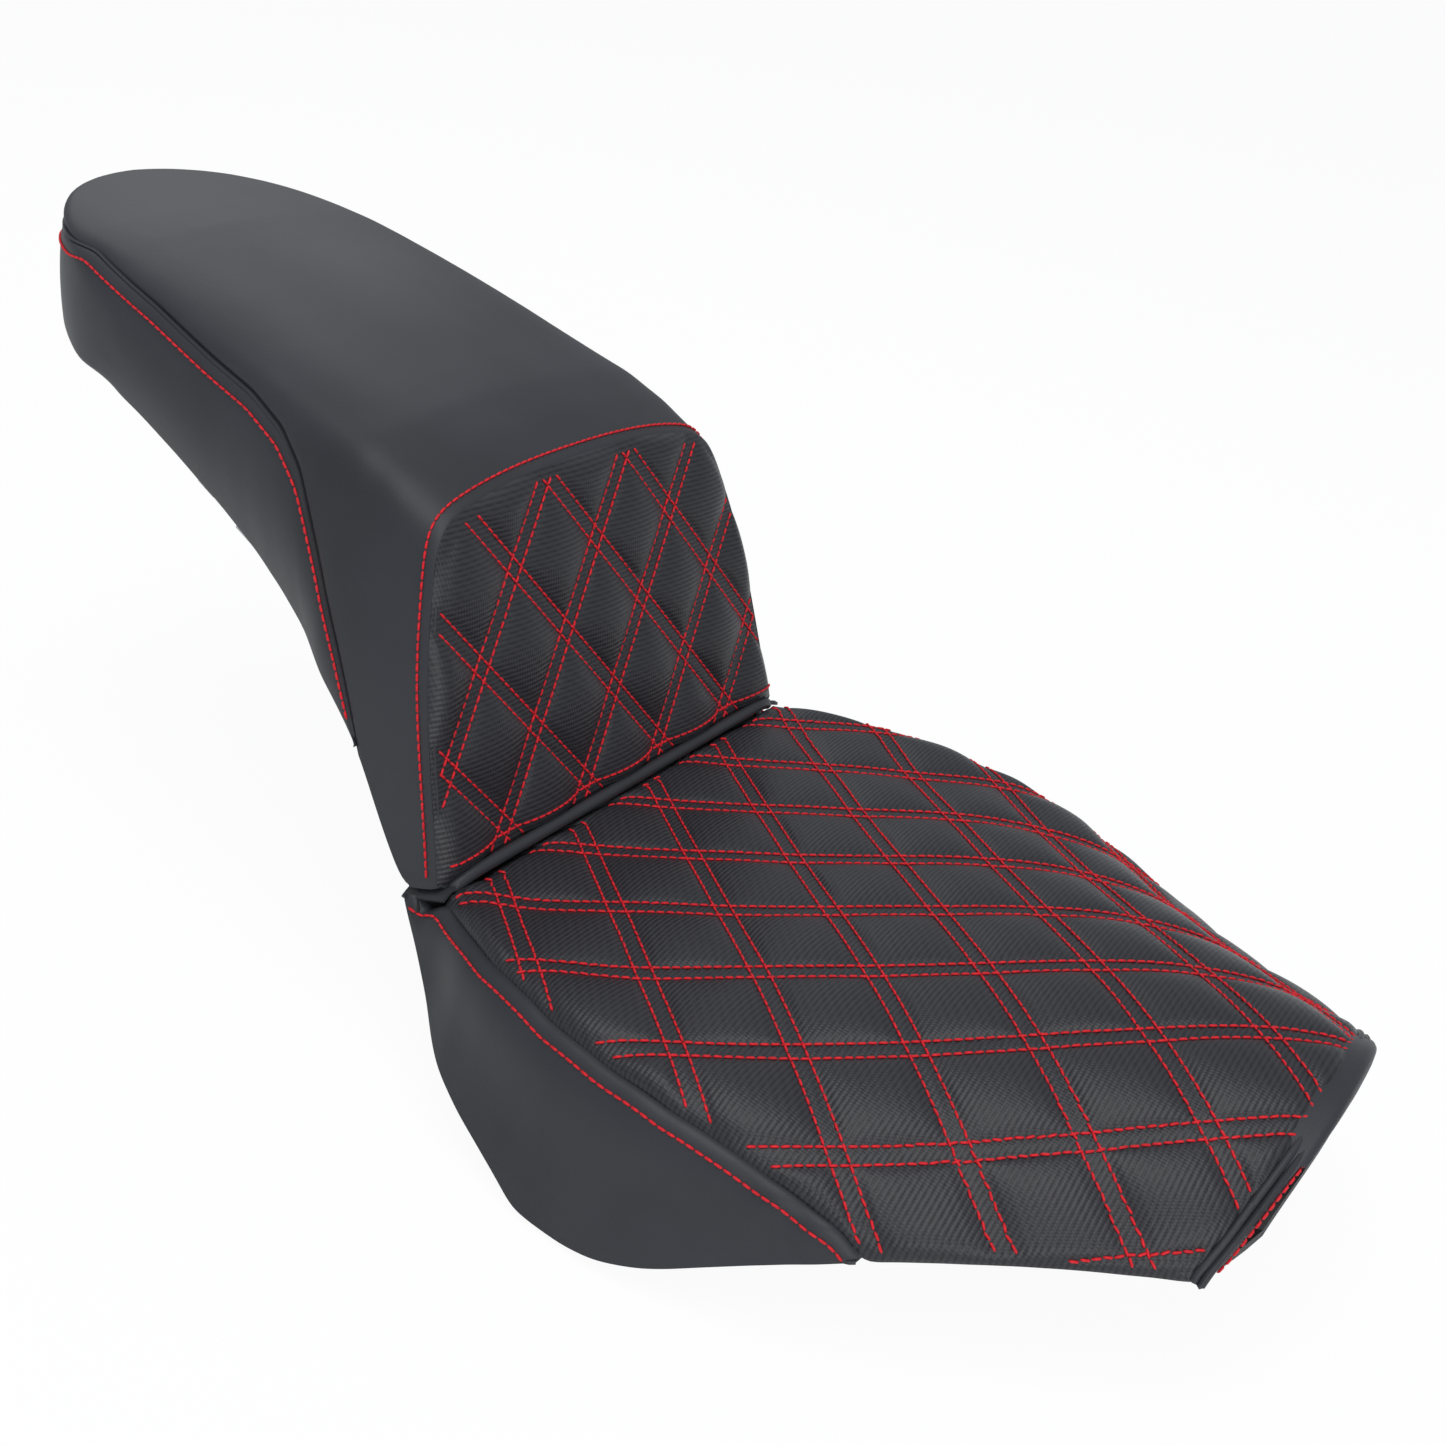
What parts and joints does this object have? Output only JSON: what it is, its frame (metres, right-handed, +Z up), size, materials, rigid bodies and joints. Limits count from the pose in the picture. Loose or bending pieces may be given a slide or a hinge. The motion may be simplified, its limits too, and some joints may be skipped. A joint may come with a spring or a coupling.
{
  "type": "motorcycle seat",
  "caption": "Step-up two-place motorcycle seat: quilted saddle and backrest, smooth passenger seat, moulded pan with front tongue and rear bolt tab.",
  "frame": {"origin": "centre of the rear bolt hole, on the underside of the rear tab", "axes": "+X towards the nose, +Y to the rider's left, +Z up"},
  "size_m": [0.634, 0.3306, 0.2615],
  "materials": {
    "carbon_vinyl": "satin",
    "smooth_vinyl": "satin",
    "foam": "matte",
    "pan_plastic": "matte",
    "bumper_rubber": "matte",
    "brass": "satin",
    "bracket_steel": "satin",
    "fastener_steel": "satin"
  },
  "bodies": {
    "root": {"backrest_quilt_cover": "carbon_vinyl", "backrest_quilt_foam": "foam", "base_pan": "pan_plastic", "bumper_front_left": "bumper_rubber", "bumper_front_right": "bumper_rubber", "bumper_middle_left": "bumper_rubber", "bumper_middle_right": "bumper_rubber", "bumper_rear_left": "bumper_rubber", "bumper_rear_right": "bumper_rubber", "bumper_screws": "fastener_steel", "cover_staples": "fastener_steel", "crease_welt": "smooth_vinyl", "front_tongue": "bracket_steel", "listing_wire": "fastener_steel", "nose_cover": "smooth_vinyl", "nose_welt": "smooth_vinyl", "passenger_foam": "foam", "passenger_side_cover_left": "smooth_vinyl", "passenger_side_cover_right": "smooth_vinyl", "passenger_top_cover": "smooth_vinyl", "rear_tab": "bracket_steel", "rider_foam": "foam", "rider_quilt_cover": "carbon_vinyl", "rider_quilt_foam": "foam", "rider_side_cover_left": "smooth_vinyl", "rider_side_cover_right": "smooth_vinyl", "tab_screws": "fastener_steel", "threaded_inserts": "brass", "tongue_screws": "fastener_steel"}
  },
  "joints": []
}
